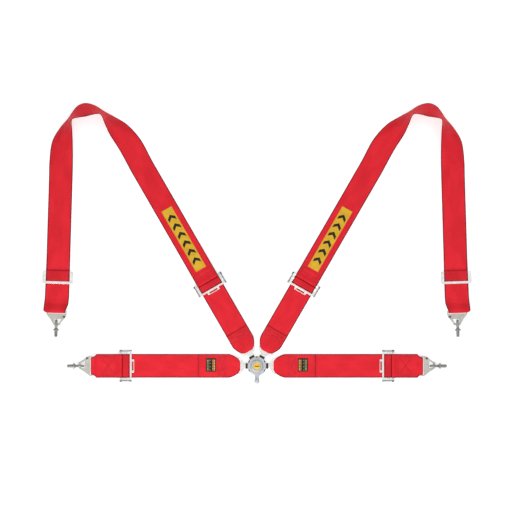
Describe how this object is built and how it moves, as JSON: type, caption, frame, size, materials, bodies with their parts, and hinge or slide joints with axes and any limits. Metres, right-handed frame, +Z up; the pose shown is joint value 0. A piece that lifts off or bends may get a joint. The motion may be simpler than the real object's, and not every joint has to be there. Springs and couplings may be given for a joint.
{
  "type": "racing harness",
  "caption": "Wide-webbing racing harness lying flat: lap and shoulder straps on a round rotary buckle with a release lever, slotted adjusters, and snap hooks with eyebolts at the ends.",
  "frame": {"origin": "centre of the buckle's flat back, on the buckle's axis, on the surface that the harness lies on", "axes": "+Z up out of the buckle's face; +Y towards the shoulder straps, away from the lever's knob; +X along the lap straps to the viewer's right"},
  "size_m": [1.3642, 0.8919, 0.0737],
  "materials": {
    "alloy": "satin anodised",
    "steel": "bright zinc",
    "zinc_plate": "dull zinc plate",
    "dark_steel": "dark plated",
    "black_plastic": "moulded",
    "yellow_badge": "domed resin",
    "red_webbing": "woven polyester",
    "yellow_label": "woven label",
    "black_label": "woven label"
  },
  "bodies": {
    "buckle": {"buckle_back_plate": "alloy", "buckle_housing": "alloy", "port_liner": "black_plastic", "pivot_bolt": "steel", "lever_return_spring": "steel", "captive_pin": "steel", "tongue_lap_left": "steel", "lap_inner_webbing_left": "red_webbing", "lap_label_left": "black_label"},
    "lever": {"release_lever": "alloy", "cam_sleeve": "steel", "lever_badge": "yellow_badge"},
    "latch": {"latch_ring": "steel"},
    "adjuster_lap_left": {"adjuster_frame_lap_left": "steel", "adjuster_bight_lap_left": "red_webbing", "lap_outer_webbing_left": "red_webbing"},
    "lock_lap_left": {"lock_bar_lap_left": "steel"},
    "hook_lap_left": {"snap_hook_lap_left": "zinc_plate", "gate_rivet_lap_left": "dark_steel"},
    "gate_lap_left": {"hook_gate_lap_left": "zinc_plate"},
    "eyebolt_lap_left": {"eyebolt_lap_left": "dark_steel"},
    "strap_lap_right": {"tongue_lap_right": "steel", "lap_inner_webbing_right": "red_webbing", "lap_label_right": "black_label"},
    "adjuster_lap_right": {"adjuster_frame_lap_right": "steel", "adjuster_bight_lap_right": "red_webbing", "lap_outer_webbing_right": "red_webbing"},
    "lock_lap_right": {"lock_bar_lap_right": "steel"},
    "hook_lap_right": {"snap_hook_lap_right": "zinc_plate", "gate_rivet_lap_right": "dark_steel"},
    "gate_lap_right": {"hook_gate_lap_right": "zinc_plate"},
    "eyebolt_lap_right": {"eyebolt_lap_right": "dark_steel"},
    "strap_shoulder_left": {"tongue_shoulder_left": "steel", "shoulder_lower_webbing_left": "red_webbing"},
    "adjuster_shoulder_left": {"adjuster_frame_shoulder_left": "steel", "adjuster_bight_shoulder_left": "red_webbing", "shoulder_upper_webbing_left": "red_webbing", "shoulder_label_left": "yellow_label"},
    "lock_shoulder_left": {"lock_bar_shoulder_left": "steel"},
    "slide_shoulder_left": {"tail_slide_left": "steel", "tail_bight_left": "red_webbing"},
    "hook_shoulder_left": {"snap_hook_shoulder_left": "zinc_plate", "gate_rivet_shoulder_left": "dark_steel"},
    "gate_shoulder_left": {"hook_gate_shoulder_left": "zinc_plate"},
    "eyebolt_shoulder_left": {"eyebolt_shoulder_left": "dark_steel"},
    "strap_shoulder_right": {"tongue_shoulder_right": "steel", "shoulder_lower_webbing_right": "red_webbing"},
    "adjuster_shoulder_right": {"adjuster_frame_shoulder_right": "steel", "adjuster_bight_shoulder_right": "red_webbing", "shoulder_upper_webbing_right": "red_webbing", "shoulder_label_right": "yellow_label"},
    "lock_shoulder_right": {"lock_bar_shoulder_right": "steel"},
    "slide_shoulder_right": {"tail_slide_right": "steel", "tail_bight_right": "red_webbing"},
    "hook_shoulder_right": {"snap_hook_shoulder_right": "zinc_plate", "gate_rivet_shoulder_right": "dark_steel"},
    "gate_shoulder_right": {"hook_gate_shoulder_right": "zinc_plate"},
    "eyebolt_shoulder_right": {"eyebolt_shoulder_right": "dark_steel"}
  },
  "joints": [
    {"name": "lever_turn", "type": "hinge", "parent": "buckle", "child": "lever", "pos_m": [0, 0, 0.02], "axis": [0, 0, 1], "range_deg": [0, 60], "stiffness_Nm_per_rad": 0.3},
    {"name": "latch_lift", "type": "slide", "parent": "buckle", "child": "latch", "axis": [0, 0, 1], "range_m": [0, 0.0025]},
    {"name": "adjust_lap_left", "type": "slide", "parent": "buckle", "child": "adjuster_lap_left", "axis": [-1, 0, 0], "range_m": [-0.08, 0.02]},
    {"name": "lock_lap_left", "type": "slide", "parent": "adjuster_lap_left", "child": "lock_lap_left", "axis": [-1, 0, 0], "range_m": [-0.0015, 0.0015]},
    {"name": "hook_lap_left", "type": "hinge", "parent": "adjuster_lap_left", "child": "hook_lap_left", "pos_m": [-0.5225, 0, 0.0132], "axis": [0, 1, 0], "range_deg": [0, 60]},
    {"name": "gate_lap_left", "type": "hinge", "parent": "hook_lap_left", "child": "gate_lap_left", "pos_m": [-0.539, 0.024, 0.0163], "axis": [0, 0, 1], "range_deg": [0, 10], "stiffness_Nm_per_rad": 0.02},
    {"name": "eyebolt_lap_left", "type": "hinge", "parent": "hook_lap_left", "child": "eyebolt_lap_left", "pos_m": [-0.5625, 0, 0.015], "axis": [0, 0, 1], "range_deg": [-8, 8]},
    {"name": "release_lap_right", "type": "slide", "parent": "buckle", "child": "strap_lap_right", "axis": [1, 0, 0], "range_m": [0, 0.035]},
    {"name": "adjust_lap_right", "type": "slide", "parent": "strap_lap_right", "child": "adjuster_lap_right", "axis": [1, 0, 0], "range_m": [-0.08, 0.02]},
    {"name": "lock_lap_right", "type": "slide", "parent": "adjuster_lap_right", "child": "lock_lap_right", "axis": [1, 0, 0], "range_m": [-0.0015, 0.0015]},
    {"name": "hook_lap_right", "type": "hinge", "parent": "adjuster_lap_right", "child": "hook_lap_right", "pos_m": [0.5225, 0, 0.0132], "axis": [0, -1, 0], "range_deg": [0, 60]},
    {"name": "gate_lap_right", "type": "hinge", "parent": "hook_lap_right", "child": "gate_lap_right", "pos_m": [0.539, 0.024, 0.0163], "axis": [0, 0, -1], "range_deg": [0, 10], "stiffness_Nm_per_rad": 0.02},
    {"name": "eyebolt_lap_right", "type": "hinge", "parent": "hook_lap_right", "child": "eyebolt_lap_right", "pos_m": [0.5625, 0, 0.015], "axis": [0, 0, 1], "range_deg": [-8, 8]},
    {"name": "release_shoulder_left", "type": "slide", "parent": "buckle", "child": "strap_shoulder_left", "axis": [-0.5, 0.866, 0], "range_m": [0, 0.035]},
    {"name": "adjust_shoulder_left", "type": "slide", "parent": "strap_shoulder_left", "child": "adjuster_shoulder_left", "axis": [-0.5, 0.866, 0], "range_m": [-0.05, 0.015]},
    {"name": "lock_shoulder_left", "type": "slide", "parent": "adjuster_shoulder_left", "child": "lock_shoulder_left", "axis": [-0.5, 0.866, 0], "range_m": [-0.0015, 0.0015]},
    {"name": "tail_shoulder_left", "type": "slide", "parent": "adjuster_shoulder_left", "child": "slide_shoulder_left", "axis": [-0.0293, -0.9996, 0], "range_m": [-0.1, 0.03]},
    {"name": "hook_shoulder_left", "type": "hinge", "parent": "adjuster_shoulder_left", "child": "hook_shoulder_left", "pos_m": [-0.636, 0.173, 0.0132], "axis": [-0.9996, 0.0293, 0], "range_deg": [0, 60]},
    {"name": "gate_shoulder_left", "type": "hinge", "parent": "hook_shoulder_left", "child": "gate_shoulder_left", "pos_m": [-0.61249, 0.1558, 0.0163], "axis": [0, 0, -1], "range_deg": [0, 10], "stiffness_Nm_per_rad": 0.02},
    {"name": "eyebolt_shoulder_left", "type": "hinge", "parent": "hook_shoulder_left", "child": "eyebolt_shoulder_left", "pos_m": [-0.63717, 0.13302, 0.015], "axis": [0, 0, 1], "range_deg": [-8, 8]},
    {"name": "release_shoulder_right", "type": "slide", "parent": "buckle", "child": "strap_shoulder_right", "axis": [0.5, 0.866, 0], "range_m": [0, 0.035]},
    {"name": "adjust_shoulder_right", "type": "slide", "parent": "strap_shoulder_right", "child": "adjuster_shoulder_right", "axis": [0.5, 0.866, 0], "range_m": [-0.05, 0.015]},
    {"name": "lock_shoulder_right", "type": "slide", "parent": "adjuster_shoulder_right", "child": "lock_shoulder_right", "axis": [0.5, 0.866, 0], "range_m": [-0.0015, 0.0015]},
    {"name": "tail_shoulder_right", "type": "slide", "parent": "adjuster_shoulder_right", "child": "slide_shoulder_right", "axis": [0.0293, -0.9996, 0], "range_m": [-0.1, 0.03]},
    {"name": "hook_shoulder_right", "type": "hinge", "parent": "adjuster_shoulder_right", "child": "hook_shoulder_right", "pos_m": [0.636, 0.173, 0.0132], "axis": [-0.9996, -0.0293, 0], "range_deg": [0, 60]},
    {"name": "gate_shoulder_right", "type": "hinge", "parent": "hook_shoulder_right", "child": "gate_shoulder_right", "pos_m": [0.61249, 0.1558, 0.0163], "axis": [0, 0, 1], "range_deg": [0, 10], "stiffness_Nm_per_rad": 0.02},
    {"name": "eyebolt_shoulder_right", "type": "hinge", "parent": "hook_shoulder_right", "child": "eyebolt_shoulder_right", "pos_m": [0.63717, 0.13302, 0.015], "axis": [0, 0, 1], "range_deg": [-8, 8]}
  ],
  "couplings": [
    {"joint": "lever_turn", "follows": "latch_lift", "rad_per_m": 418.88}
  ]
}
